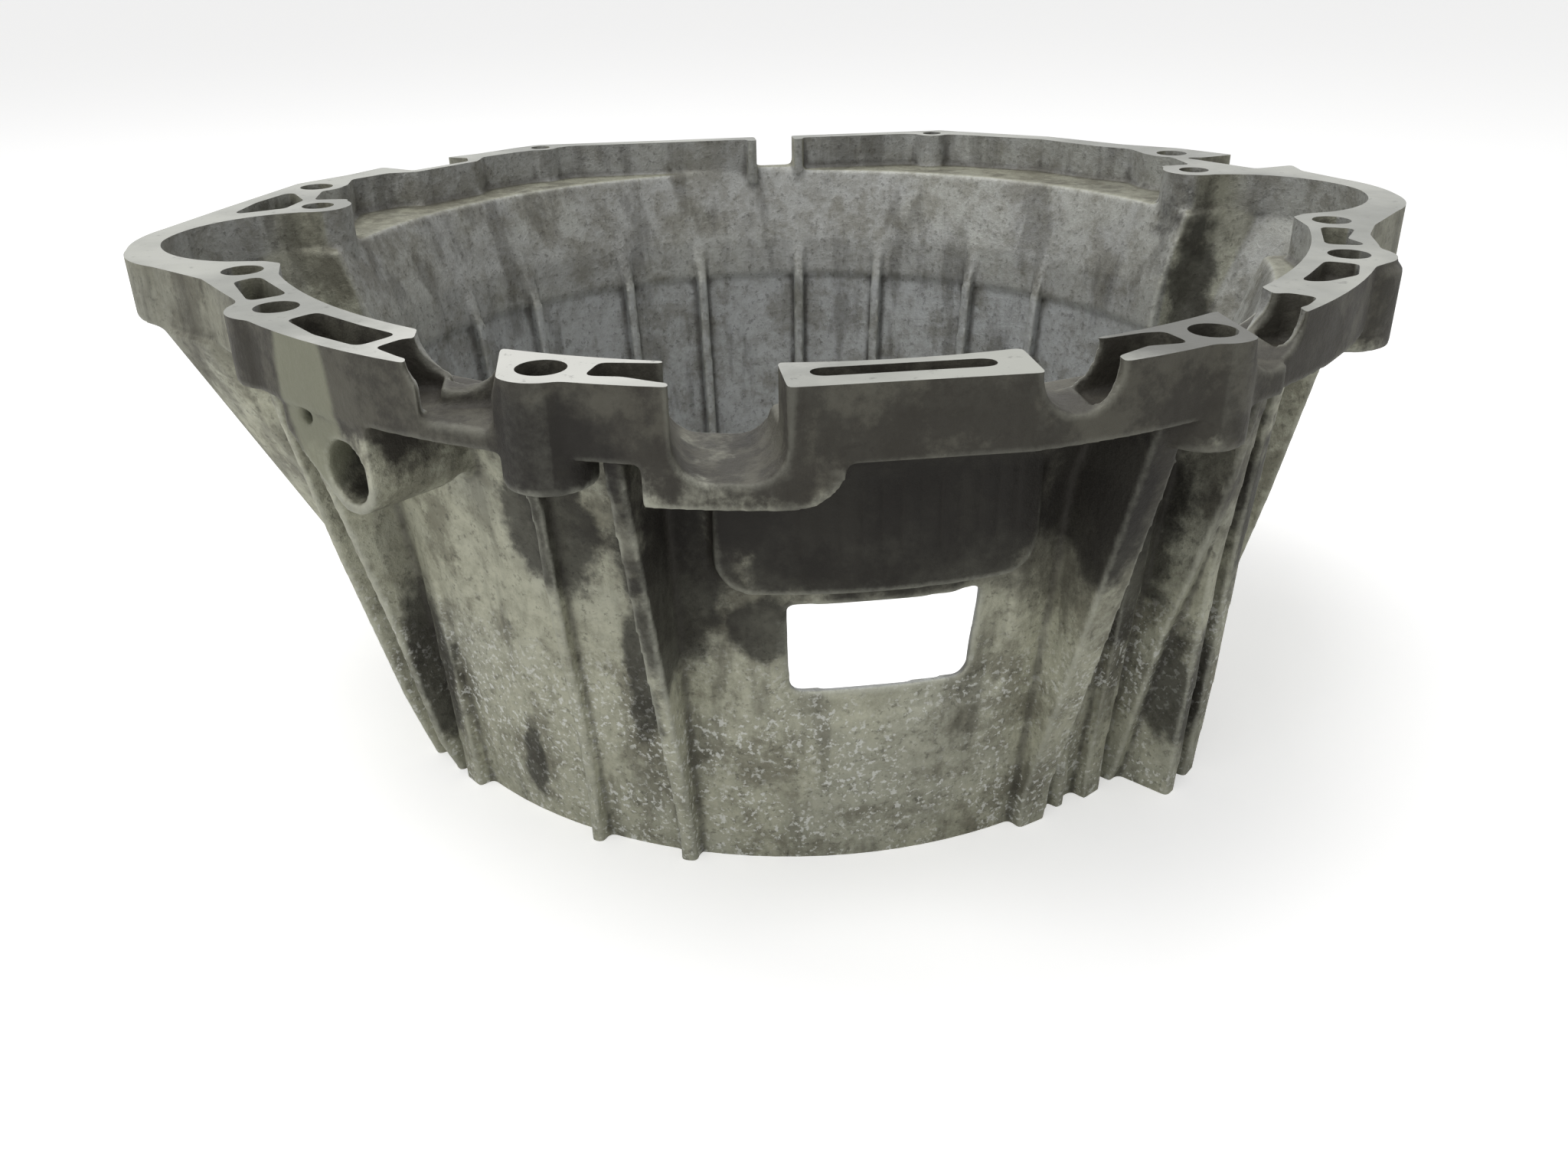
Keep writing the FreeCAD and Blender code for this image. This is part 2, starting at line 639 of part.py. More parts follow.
window_frame = front_sketch("window_frame_sketch", "sizes.foot_radius + 10")
frame_low = size("window_frame_bottom")
frame_left, frame_right = size("window_frame_left"), size("window_frame_right")
frame_high = size("window_top") + 2 * CLEAR
draw_rounded(
    window_frame, size("window_frame_corner"),
    [(frame_left, frame_high), (frame_left, frame_low), (frame_right, frame_low), (frame_right, frame_high)],
)
frame_block = solid(window_frame, f"sizes.foot_radius + 10 - {RIB_ROOT}", reverse=True)
frame_core = front_sketch("frame_core_sketch")
draw(
    frame_core,
    (0, 0),
    ("sizes.foot_radius - sizes.window_frame_depth", 0),
    ("sizes.neck_radius - sizes.window_frame_depth", "sizes.neck_height"),
    (0, "sizes.neck_height"),
)
cuts.append(cut_from("sunk_frame", frame_block, spun(frame_core)))

# Smooth shallow hollow between the ribs under the sensor boss: half its length, width and depth.
SCOOP = (50, 24, 7)
SCOOP_TURN = -43.5
SCOOP_HEIGHT = 86
SCOOP_LEAN = 6.9
scoop = doc.addObject("Part::Ellipsoid", "scoop")
scoop.Radius1, scoop.Radius2, scoop.Radius3 = SCOOP
scoop_place = [number_of(part) for part in polar("sizes.neck_radius", SCOOP_TURN)]
scoop_way = Rotation(180 + SCOOP_TURN, 0, -SCOOP_LEAN)
scoop.Placement = Placement(Vector(*scoop_place, SCOOP_HEIGHT), scoop_way)
cuts.append(scoop)

# ---------------------------------------------------------------- notches
notches = front_sketch("notches_sketch", "sizes.rim_radius + 12")
draw(
    notches,
    (-55.5, ABOVE_TOP),
    (-55.5, f"{TOP} - 14.5"),
    ((-52.7, size("height") - 21.2), (-46, f"{TOP} - 24")),
    (-38, f"{TOP} - 24"),
    ((-31.3, size("height") - 21.2), (-28.5, f"{TOP} - 14.5")),
    (-28.5, ABOVE_TOP),
)
ring(notches, 43.3, f"{TOP} - 1.3", 21.2)
ring(notches, 105, f"{TOP} - 0.5", 23)
ring(notches, -107, f"{TOP} + 1", 23)
cuts.append(solid(notches, f"sizes.rim_radius + 12 - {RIB_ROOT} - 3 * {CLEAR}", reverse=True))

left_notch = front_sketch("left_notch_sketch", "sizes.rim_radius + 12")
draw(left_notch, (-116, ABOVE_TOP), (-116, SHELF), (-97.5, SHELF), (-97.5, ABOVE_TOP))
LEFT_NOTCH_END = 157
cuts.append(solid(left_notch, f"sizes.rim_radius + 12 - {LEFT_NOTCH_END}", reverse=True))

FAR_NOTCH_START = 160
FAR_NOTCH_FOOT = f"{TOP} - 13"
far_notch = front_sketch("far_notch_sketch", str(-FAR_NOTCH_START))
draw(far_notch, (8, ABOVE_TOP), (8, FAR_NOTCH_FOOT), (26, FAR_NOTCH_FOOT), (26, ABOVE_TOP))
cuts.append(solid(far_notch, f"sizes.rim_radius - {FAR_NOTCH_START}", reverse=True))

# ---------------------------------------------------------------- pockets in the rim
rim_pockets = level_sketch("rim_pockets_sketch", f"{TOP} - sizes.pocket_depth")
draw_rounded(rim_pockets, 2.4, [(-173, -66), (-179.5, -72), (-170, -96), (-160, -90)])
draw_rounded(rim_pockets, 2.4, [(171, -66), (181, -71), (171, -84), (173, -95), (160, -90)])
draw_rounded(
    rim_pockets, 2.4,
    [(-148, -112), (-155, -119), (-145, -135), (-132, -148), (-123, -139), (-134, -128)],
)
draw_rounded(rim_pockets, 2, [(-112, -144), (-121, -143), (-127.5, -150), (-119, -161), (-112, -160)])
draw_rounded(rim_pockets, 2, [(112, -144), (121, -144), (126.5, -150), (120, -157), (112, -161)])
draw_rounded(
    rim_pockets, 1.4,
    [(-71, -173.2), (-75, -183), (-66, -185.3), (-57, -191.5), (-50, -193), (-50, -178)],
)
draw_rounded(
    rim_pockets, 1.4,
    [(67, -173.5), (72.5, -173.5), (75, -184), (64, -184.5), (57, -189), (48, -195), (48, -178.5)],
)
draw_rounded(rim_pockets, 3.2, [(-22, -187), (24, -187), (24, -193.5), (-22, -193.5)])
draw_rounded(rim_pockets, 2.4, [(-190, 78), (-182, 58), (-186, 43), (-204, 35), (-199.5, 57)])
cuts.append(solid(rim_pockets, f"sizes.pocket_depth + {CLEAR}"))

shallow_pocket = level_sketch("shallow_pocket_sketch", f"{TOP} - sizes.shallow_pocket_depth")
draw_rounded(
    shallow_pocket, 2.4,
    [(149, -111), (157, -117), (150, -129), (138, -134), (129, -133), (136, -126)],
)
cuts.append(solid(shallow_pocket, f"sizes.shallow_pocket_depth + {CLEAR}"))

# ---------------------------------------------------------------- drilled and bored holes
engine_bolts = level_sketch("engine_bolts_sketch", f"{TOP} - sizes.bolt_hole_depth")
for row_of in ("near", "side", "flank", "corner"):
    pair(engine_bolts, f"sizes.{row_of}_pitch", f"sizes.{row_of}_row", "sizes.bolt_hole")
cuts.append(solid(engine_bolts, f"sizes.bolt_hole_depth + {CLEAR}"))

lobe_holes = level_sketch("lobe_holes_sketch", f"{TOP} - sizes.lobe_hole_depth")
pair(lobe_holes, "sizes.lobe_pitch", "sizes.lobe_row", "sizes.lobe_hole")
cuts.append(solid(lobe_holes, f"sizes.lobe_hole_depth + {CLEAR}"))

far_holes = level_sketch("far_holes_sketch", f"{TOP} - sizes.far_hole_depth")
pair(far_holes, "sizes.far_pitch", "sizes.far_row", "sizes.far_hole")
cuts.append(solid(far_holes, f"sizes.far_hole_depth + {CLEAR}"))

sensor_bore = front_sketch("sensor_bore_sketch", f"sizes.sensor_reach + {CLEAR}")
ring(sensor_bore, "sizes.sensor_bore_across", f"{TOP} - sizes.sensor_bore_drop", "sizes.sensor_bore")
sensor_drill = solid(sensor_bore, f"sizes.sensor_bore_length + {CLEAR}", reverse=True)
cuts.append(turn_to(sensor_drill, "sizes.sensor_turn"))

sensor_screw = front_sketch("sensor_screw_sketch", f"sizes.sensor_reach + {CLEAR}")
ring(sensor_screw, "sizes.sensor_screw_across", f"{TOP} - sizes.sensor_screw_drop", "sizes.sensor_screw")
screw_drill = solid(sensor_screw, f"sizes.sensor_screw_depth + {CLEAR}", reverse=True)
cuts.append(turn_to(screw_drill, "sizes.sensor_turn"))

# ---------------------------------------------------------------- the casting
cast_outside = joined("cast_outside", outside)
cast_hollow = joined("cast_hollow", hollows)
cast_shell = cut_from("cast_shell", cast_outside, cast_hollow)
casting = joined("casting", [cast_shell] + inside)
machining = joined("machining", cuts)
bell_housing = cut_from("bell_housing", casting, machining)
bell_housing.Label = "bell_housing"
bell_housing.Placement = Placement(Vector(), Rotation())

# ---------------------------------------------------------------- check and write
doc.recompute()
for item in doc.Objects:
    if "Invalid" in item.State or "Error" in item.State:
        raise RuntimeError(f"{item.Name} did not build: {item.State}")
shape = bell_housing.Shape
if shape.isNull() or not shape.isValid() or len(shape.Solids) != 1:
    raise RuntimeError("bell_housing has no sound shape")
shape.Solids[0].exportStep("parts/bell_housing.step")
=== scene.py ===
from math import radians

import bmesh
import bpy
import numpy as np
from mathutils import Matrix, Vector


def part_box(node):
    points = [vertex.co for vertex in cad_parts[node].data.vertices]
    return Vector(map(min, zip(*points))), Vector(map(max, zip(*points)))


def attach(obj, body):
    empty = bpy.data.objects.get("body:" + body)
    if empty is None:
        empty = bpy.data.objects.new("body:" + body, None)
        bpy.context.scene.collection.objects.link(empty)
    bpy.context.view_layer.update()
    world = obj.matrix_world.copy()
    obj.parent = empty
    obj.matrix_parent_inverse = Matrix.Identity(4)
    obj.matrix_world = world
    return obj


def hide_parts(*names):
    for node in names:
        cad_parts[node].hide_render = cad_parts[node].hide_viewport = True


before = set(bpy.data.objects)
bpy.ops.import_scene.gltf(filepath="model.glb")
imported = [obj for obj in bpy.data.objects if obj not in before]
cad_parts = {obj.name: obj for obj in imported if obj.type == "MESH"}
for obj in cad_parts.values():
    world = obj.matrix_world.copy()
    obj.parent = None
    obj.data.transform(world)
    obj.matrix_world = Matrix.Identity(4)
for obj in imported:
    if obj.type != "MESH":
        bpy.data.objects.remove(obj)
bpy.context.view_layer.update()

# ---------------------------------------------------------------- the casting
# The whole housing is one aluminium casting: a tapered bell with a lobed engine rim on top.
# It leaves the mould with soft edges and fillets, and the engine and gearbox faces are then milled
# flat, which cuts their edges sharp again.
MILLING_STOCK = 0.004
SAND_GRAIN = 0.0011
EDGE_ROUNDING = 5
RELIEF_REACH = 30
TRIANGLES = 186000
MILLIMETRES = 1000

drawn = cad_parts["bell_housing"]
foot, engine_face = (corner[2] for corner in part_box("bell_housing"))


def worked(mesh, kind, **settings):
    """The mesh after one modifier."""
    blank = bpy.data.objects.new("blank", mesh)
    bpy.context.scene.collection.objects.link(blank)
    step = blank.modifiers.new(kind, kind)
    for name, value in settings.items():
        setattr(step, name, value)
    made = bpy.data.meshes.new_from_object(blank.evaluated_get(bpy.context.evaluated_depsgraph_get()))
    bpy.data.objects.remove(blank)
    return made


def column(mesh, field):
    numbers = np.empty(len(mesh.vertices) * 3, dtype=np.float32)
    mesh.vertices.foreach_get(field, numbers)
    return numbers.reshape(-1, 3)


pattern = bmesh.new()
pattern.from_mesh(drawn.data)
bmesh.ops.remove_doubles(pattern, verts=pattern.verts, dist=1e-6)
milled_levels = ((engine_face, 1), (foot, -1))
for level, way in milled_levels:
    flat = [face for face in pattern.faces if all(abs(corner.co.z - level) < 1e-5 for corner in face.verts)]
    grown = bmesh.ops.extrude_face_region(pattern, geom=flat)["geom"]
    lifted = [item for item in grown if isinstance(item, bmesh.types.BMVert)]
    bmesh.ops.translate(pattern, vec=(0, 0, way * MILLING_STOCK), verts=lifted)
    bmesh.ops.delete(pattern, geom=flat, context="FACES_ONLY")
mould = bpy.data.meshes.new("mould")
pattern.to_mesh(mould)
pattern.free()

cast = worked(mould, "REMESH", mode="VOXEL", voxel_size=SAND_GRAIN)
cast = worked(cast, "SMOOTH", factor=0.5, iterations=EDGE_ROUNDING)

# How far each point stands out of the surface round it: ribs' edges above 0, corners below.
softened = worked(cast, "SMOOTH", factor=0.5, iterations=RELIEF_REACH)
proud = ((column(cast, "co") - column(softened, "co")) * column(softened, "normal")).sum(axis=1)
cast.attributes.new("proud", "FLOAT", "POINT").data.foreach_set("value", proud * MILLIMETRES)
cast = worked(cast, "DECIMATE", ratio=min(1, TRIANGLES / (2 * len(cast.polygons))))

milled = bmesh.new()
milled.from_mesh(cast)
machined_faces = []
for level, way in milled_levels:
    everything = milled.verts[:] + milled.edges[:] + milled.faces[:]
    cut = bmesh.ops.bisect_plane(
        milled, geom=everything, dist=1e-7, plane_co=(0, 0, level), plane_no=(0, 0, way), clear_outer=True,
    )["geom_cut"]
    rims = [item for item in cut if isinstance(item, bmesh.types.BMEdge)]
    filled = bmesh.ops.triangle_fill(milled, use_beauty=True, edges=rims, normal=(0, 0, way))["geom"]
    machined_faces += [item for item in filled if isinstance(item, bmesh.types.BMFace)]
    for edge in rims:
        edge.smooth = False
bmesh.ops.recalc_face_normals(milled, faces=milled.faces)
for face in milled.faces:
    face.smooth = True
for face in machined_faces:
    face.material_index = 1
housing_mesh = bpy.data.meshes.new("cast_housing")
milled.to_mesh(housing_mesh)
milled.free()
housing = bpy.data.objects.new("cast_housing", housing_mesh)
bpy.context.scene.collection.objects.link(housing)


# The cast skin is dulled by years under a car: oil and road dirt baked on under the rim, white
# oxide on the low wall, and bare metal where the ribs' edges were rubbed. Painted shade goes on
# with the oil under the rim, with some black stains and in the corners, painted highlight goes on
# with the rubbed edges, and the low panels inside get painted light from below.
def add(tree, kind, inputs, **settings):
    """A node, with its settings and its inputs as values or as outputs of other nodes."""
    made = tree.nodes.new(kind)
    for name, value in settings.items():
        setattr(made, name, value)
    for name, value in inputs.items():
        if isinstance(value, bpy.types.NodeSocket):
            tree.links.new(value, made.inputs[name])
        else:
            made.inputs[name].default_value = value
    return made


def reckon(tree, operation, first, second=0.0, third=0.0):
    made = add(tree, "ShaderNodeMath", {0: first, 1: second, 2: third}, operation=operation)
    return made.outputs[0]


def span(tree, value, low, high, at_low=0.0, at_high=1.0):
    """Smooth step from one value to another."""
    inputs = {"Value": value, "From Min": low, "From Max": high, "To Min": at_low, "To Max": at_high}
    return add(tree, "ShaderNodeMapRange", inputs, interpolation_type="SMOOTHSTEP").outputs[0]


def grain(tree, place, scale, detail, roughness):
    """A cloudy pattern, with this many patches to a metre."""
    inputs = {"Vector": place, "Scale": scale, "Detail": detail, "Roughness": roughness}
    return add(tree, "ShaderNodeTexNoise", inputs).outputs[0]


def patches(tree, place, pattern, starts, full, strength=1.0):
    """Patches of a pattern, from where it starts to show to where it is at full strength."""
    shown = span(tree, grain(tree, place, *pattern), starts, full)
    return shown if strength == 1 else reckon(tree, "MULTIPLY", shown, strength)


def blend(tree, mask, under, over):
    inputs = {0: mask, 6: under, 7: over}
    return add(tree, "ShaderNodeMix", inputs, data_type="RGBA").outputs[2]


def new_group(name, inputs, outputs):
    tree = bpy.data.node_groups.new(name, "ShaderNodeTree")
    for word, kind in inputs:
        tree.interface.new_socket(word, in_out="INPUT", socket_type=kind)
    for word, kind in outputs:
        tree.interface.new_socket(word, in_out="OUTPUT", socket_type=kind)
    return tree, tree.nodes.new("NodeGroupInput").outputs, tree.nodes.new("NodeGroupOutput").inputs


# A stain with a ragged edge: 1 inside an egg shape at a place on the casting, 0 outside it.
STAIN, given, put = new_group(
    "Stain",
    [("Place", "NodeSocketVector"), ("Centre", "NodeSocketVector"), ("Reach", "NodeSocketVector"),
     ("Ragged", "NodeSocketFloat"), ("Soft", "NodeSocketFloat")],
    [("Mask", "NodeSocketFloat")],
)
away = add(STAIN, "ShaderNodeVectorMath", {0: given["Place"], 1: given["Centre"]}, operation="SUBTRACT")
away = add(STAIN, "ShaderNodeVectorMath", {0: away.outputs[0], 1: given["Reach"]}, operation="DIVIDE")
away = add(STAIN, "ShaderNodeVectorMath", {0: away.outputs[0]}, operation="LENGTH").outputs["Value"]
EDGE_RAGS = (90.0, 6.0, 0.65)
rags = reckon(STAIN, "SUBTRACT", grain(STAIN, given["Place"], *EDGE_RAGS), 0.5)
away = reckon(STAIN, "ADD", away, reckon(STAIN, "MULTIPLY", rags, given["Ragged"]))
outer = reckon(STAIN, "ADD", 1.0, given["Soft"])
inner = reckon(STAIN, "SUBTRACT", 1.0, given["Soft"])
STAIN.links.new(span(STAIN, away, inner, outer, 1.0, 0.0), put["Mask"])


def stain(tree, place, centre, reach, ragged=1.2, soft=0.2):
    made = add(
        tree, "ShaderNodeGroup",
        {"Place": place, "Centre": centre, "Reach": reach, "Ragged": ragged, "Soft": soft},
        node_tree=STAIN,
    )
    return made.outputs["Mask"]


skin = bpy.data.materials.new("cast_skin")
skin.use_nodes = True
tree = skin.node_tree
surface = tree.nodes["Principled BSDF"]
place = add(tree, "ShaderNodeTexCoord", {}).outputs["Object"]
facing = add(tree, "ShaderNodeNewGeometry", {}).outputs["Normal"]
split = add(tree, "ShaderNodeSeparateXYZ", {0: place}).outputs
across, along, height = split[0], split[1], split[2]
from_axis = add(tree, "ShaderNodeCombineXYZ", {0: across, 1: along}).outputs[0]
radius = add(tree, "ShaderNodeVectorMath", {0: from_axis}, operation="LENGTH").outputs["Value"]
outwards = add(tree, "ShaderNodeVectorMath", {0: from_axis}, operation="NORMALIZE").outputs[0]
turned_out = add(
    tree, "ShaderNodeVectorMath", {0: outwards, 1: facing}, operation="DOT_PRODUCT",
).outputs["Value"]
relief = add(tree, "ShaderNodeAttribute", {}, attribute_name="proud").outputs["Fac"]

# Patches to a metre, fineness of detail, and how strong that detail is.
PITTING = (420.0, 5.0, 0.7)
DAPPLE = (75.0, 6.0, 0.62)
CLOUDS = (22.0, 4.0, 0.55)
BLOTCHES = (34.0, 9.0, 0.72)
SMUDGES = (62.0, 5.0, 0.6)
MOTTLE = (150.0, 7.0, 0.75)
OIL_WEAR = (46.0, 8.0, 0.7)
OXIDE_FIELDS = (42.0, 3.0, 0.6)
OXIDE_SPECKS = (560.0, 3.0, 0.6)
fine = grain(tree, place, *PITTING)
medium = grain(tree, place, *DAPPLE)
broad = grain(tree, place, *CLOUDS)

# The middle of the wall's thickness parts the outside of the bell from the inside.
WALL_SLOPE = 0.122
WALL_MIDDLE_AT_FOOT = 0.148
mid_wall = reckon(tree, "MULTIPLY_ADD", height, WALL_SLOPE, WALL_MIDDLE_AT_FOOT)
beyond_wall = span(tree, reckon(tree, "SUBTRACT", radius, mid_wall), -0.001, 0.001)
not_inwards = span(tree, turned_out, -0.6, -0.3)
outside = reckon(tree, "MULTIPLY", beyond_wall, not_inwards)
inside = reckon(tree, "SUBTRACT", 1.0, outside)
SENSOR_SIDE = (-0.075, -0.115)
sensor_side = span(tree, along, *SENSOR_SIDE)

OUTER_METAL = (0.52, 0.52, 0.41, 1)
INNER_METAL = (0.36, 0.365, 0.35, 1)
# Panel metal, paler partly as painted light from below.
PAINTED_LIT_PANEL_METAL = (0.44, 0.455, 0.46, 1)
# Pale metal, also the painted highlight on the ribs' rubbed edges.
PALE_METAL_AND_HIGHLIGHT = (0.47, 0.475, 0.40, 1)
BROWN_DIRT = (0.125, 0.115, 0.082, 1)
# Baked oil, also laid on as painted shade under the rim and in the corners.
BAKED_OIL_AND_SHADE = (0.034, 0.030, 0.024, 1)
WORN_OIL = (0.085, 0.080, 0.063, 1)
# Black oil, also used as painted shadow in recesses under the rim.
BLACK_OIL_AND_SHADOW = (0.014, 0.012, 0.010, 1)
OXIDE = (0.78, 0.79, 0.75, 1)
SEAT_METAL = (0.27, 0.275, 0.20, 1)

# Clean metal first. The low panels between the inner ribs are paler, partly their own bluish tone
# and partly painted light from the floor below.
LIT_PANEL_TOP = (0.116, 0.110)
colour = blend(tree, outside, INNER_METAL, OUTER_METAL)
cloud_strength = reckon(tree, "MULTIPLY_ADD", outside, 0.3, 0.2)
cloud = reckon(tree, "MULTIPLY", span(tree, broad, 0.44, 0.62), cloud_strength)
colour = blend(tree, cloud, colour, PALE_METAL_AND_HIGHLIGHT)
painted_lit_panels = reckon(tree, "MULTIPLY", span(tree, height, *LIT_PANEL_TOP), inside)
colour = blend(tree, reckon(tree, "MULTIPLY", painted_lit_panels, 0.7), colour, PAINTED_LIT_PANEL_METAL)

# Road dirt in blotches, in smudges drawn out downwards, and in the pits of the skin.
blotches = patches(tree, place, BLOTCHES, 0.47, 0.60)
blotches = reckon(tree, "MULTIPLY", blotches, reckon(tree, "MULTIPLY_ADD", outside, 0.10, 0.45))
colour = blend(tree, blotches, colour, BROWN_DIRT)
drawn_out = add(tree, "ShaderNodeMapping", {"Vector": place, "Scale": (1.0, 1.0, 0.2)}).outputs[0]
colour = blend(tree, patches(tree, drawn_out, SMUDGES, 0.50, 0.64, 0.42), colour, BAKED_OIL_AND_SHADE)
colour = blend(tree, patches(tree, place, MOTTLE, 0.40, 0.66, 0.32), colour, BROWN_DIRT)
pepper = span(tree, fine, 0.54, 0.66)
colour = blend(tree, reckon(tree, "MULTIPLY", pepper, 0.40), colour, BAKED_OIL_AND_SHADE)

# Oil baked on the rim, and under it oil with painted shade from the rim's overhang, thinning out down the
# wall.
RIM_OIL = (0.138, 0.152)
UNDER_RIM_OIL_AND_SHADE = (0.078, 0.124)
OIL_AND_SHADE_WANDER = 0.050
wander = reckon(tree, "MULTIPLY_ADD", medium, OIL_AND_SHADE_WANDER, -OIL_AND_SHADE_WANDER / 2)
oil_and_shade_height = reckon(tree, "ADD", height, wander)
rim_oil = span(tree, oil_and_shade_height, *RIM_OIL)
oil_and_shade_under_rim = span(tree, oil_and_shade_height, *UNDER_RIM_OIL_AND_SHADE)
middle_of_side = stain(tree, place, (0.030, -0.165, 0.125), (0.105, 0.070, 0.056), 1.3, 0.35)
oil_and_shade_under_rim = reckon(tree, "MULTIPLY", oil_and_shade_under_rim, middle_of_side)
oil_and_shade = reckon(tree, "MAXIMUM", rim_oil, oil_and_shade_under_rim)
oil_and_shade_strength = reckon(tree, "MULTIPLY_ADD", sensor_side, 0.5, 0.45)
oil_and_shade = reckon(tree, "MULTIPLY", reckon(tree, "MULTIPLY", oil_and_shade, outside), oil_and_shade_strength)
oil_and_shade_tone = blend(tree, patches(tree, place, OIL_WEAR, 0.46, 0.60), BAKED_OIL_AND_SHADE, WORN_OIL)
colour = blend(tree, oil_and_shade, colour, oil_and_shade_tone)

# Black stains, partly oil and partly painted shadow in the recesses under the rim. Each stain's
# place and reach: the sensor bore, then round the sensor side from the left.
BLACK_OIL_AND_SHADOWS = (
    ((-0.135, -0.138, 0.140), (0.0095, 0.0095, 0.0088)),
    ((-0.132, -0.084, 0.050), (0.012, 0.012, 0.034)),
    ((-0.104, -0.120, 0.020), (0.005, 0.012, 0.020)),
    ((-0.030, -0.160, 0.090), (0.012, 0.010, 0.012)),
    ((0.088, -0.140, 0.100), (0.016, 0.020, 0.044)),
    ((0.112, -0.122, 0.040), (0.012, 0.020, 0.030)),
    ((0.128, -0.118, 0.110), (0.012, 0.016, 0.040)),
    ((-0.084, -0.185, 0.150), (0.017, 0.030, 0.024)),
    ((-0.090, -0.140, 0.118), (0.016, 0.018, 0.022)),
    ((-0.056, -0.156, 0.108), (0.015, 0.030, 0.034)),
    ((-0.066, -0.150, 0.070), (0.006, 0.014, 0.030)),
    ((0.005, -0.170, 0.127), (0.060, 0.020, 0.030)),
    ((0.062, -0.170, 0.128), (0.014, 0.026, 0.030)),
    ((0.172, 0.040, 0.118), (0.013, 0.020, 0.050)),
)
black_oil_and_shadow = reckon(tree, "MULTIPLY", stain(tree, place, *BLACK_OIL_AND_SHADOWS[0]), 0.85)
for centre, reach in BLACK_OIL_AND_SHADOWS[1:]:
    one_more = reckon(tree, "MULTIPLY", stain(tree, place, centre, reach), 0.8)
    black_oil_and_shadow = reckon(tree, "MAXIMUM", black_oil_and_shadow, one_more)
colour = blend(tree, black_oil_and_shadow, colour, BLACK_OIL_AND_SHADOW)

# The milled seat of the sensor is clean.
sensor_seat = stain(tree, place, (-0.1490, -0.1360, 0.161), (0.0125, 0.0125, 0.0270), 0.25, 0.12)
sensor_seat = reckon(tree, "MULTIPLY", sensor_seat, 0.8)
colour = blend(tree, sensor_seat, colour, SEAT_METAL)

# White oxide in small specks, gathered in patches on the low wall.
OXIDE_HEIGHT = (0.092, 0.048)
low = reckon(tree, "MULTIPLY", span(tree, height, *OXIDE_HEIGHT), outside)
gathered = patches(tree, place, OXIDE_FIELDS, 0.34, 0.54)
specks = patches(tree, place, OXIDE_SPECKS, 0.54, 0.63)
oxide = reckon(tree, "MULTIPLY", reckon(tree, "MULTIPLY", specks, gathered), low)
oxide = reckon(tree, "MULTIPLY", oxide, reckon(tree, "MULTIPLY_ADD", black_oil_and_shadow, -0.75, 0.80))
colour = blend(tree, oxide, colour, OXIDE)

# Dirt and painted shade held in the corners, and ribs' edges rubbed back to metal and lightened
# as painted highlight, by relief in millimetres.
CORNERS = (-0.10, -0.55)
RUBBED_AND_HIGHLIT_EDGES = (0.48, 1.05)
dirt_and_shade_in_corners = span(tree, relief, *CORNERS)
colour = blend(tree, reckon(tree, "MULTIPLY", dirt_and_shade_in_corners, 0.65), colour, BAKED_OIL_AND_SHADE)
rubbed_and_highlit = span(tree, reckon(tree, "MULTIPLY_ADD", fine, 0.6, relief), *RUBBED_AND_HIGHLIT_EDGES)
rubbed_and_highlit = reckon(tree, "MULTIPLY", rubbed_and_highlit, reckon(tree, "MULTIPLY_ADD", oil_and_shade, -0.55, 0.70))
rubbed_and_highlit = reckon(tree, "MULTIPLY", rubbed_and_highlit, reckon(tree, "MULTIPLY_ADD", outside, 0.65, 0.35))
colour = blend(tree, rubbed_and_highlit, colour, PALE_METAL_AND_HIGHLIGHT)
tree.links.new(colour, surface.inputs["Base Color"])

# Dirt, the painted shade and oxide aren't metallic, and the whole skin is pitted.
dirt_shade_and_oxide = reckon(tree, "MAXIMUM", reckon(tree, "MAXIMUM", oil_and_shade, black_oil_and_shadow), oxide)
tree.links.new(reckon(tree, "MULTIPLY_ADD", dirt_shade_and_oxide, -0.45, 0.50), surface.inputs["Metallic"])
tree.links.new(reckon(tree, "MULTIPLY_ADD", medium, 0.30, 0.42), surface.inputs["Roughness"])
surface.inputs["Specular IOR Level"].default_value = 0.3
pits = reckon(tree, "MULTIPLY_ADD", fine, 0.7, reckon(tree, "MULTIPLY", medium, 0.6))
bumps = add(tree, "ShaderNodeBump", {"Strength": 0.55, "Distance": 0.0012, "Height": pits})
tree.links.new(bumps.outputs[0], surface.inputs["Normal"])
housing.data.materials.append(skin)

# The engine face is milled flat and bright, with the cutter's fine marks still in it, and has
# greyed unevenly since. The gearbox face underneath is the same.
milled_metal = bpy.data.materials.new("milled_face")
milled_metal.use_nodes = True
tree = milled_metal.node_tree
surface = tree.nodes["Principled BSDF"]
place = add(tree, "ShaderNodeTexCoord", {}).outputs["Object"]
GREYING = (16.0, 4.0, 0.55)
CUTTER_MARKS = (260.0, 2.0, 0.5)
CUTTER_WAY = radians(35)
DULL_SPOTS = (210.0, 4.0, 0.7)
along_cut = {"Vector": place, "Rotation": (0, 0, CUTTER_WAY), "Scale": (1.0, 14.0, 1.0)}
stretched = add(tree, "ShaderNodeMapping", along_cut).outputs[0]

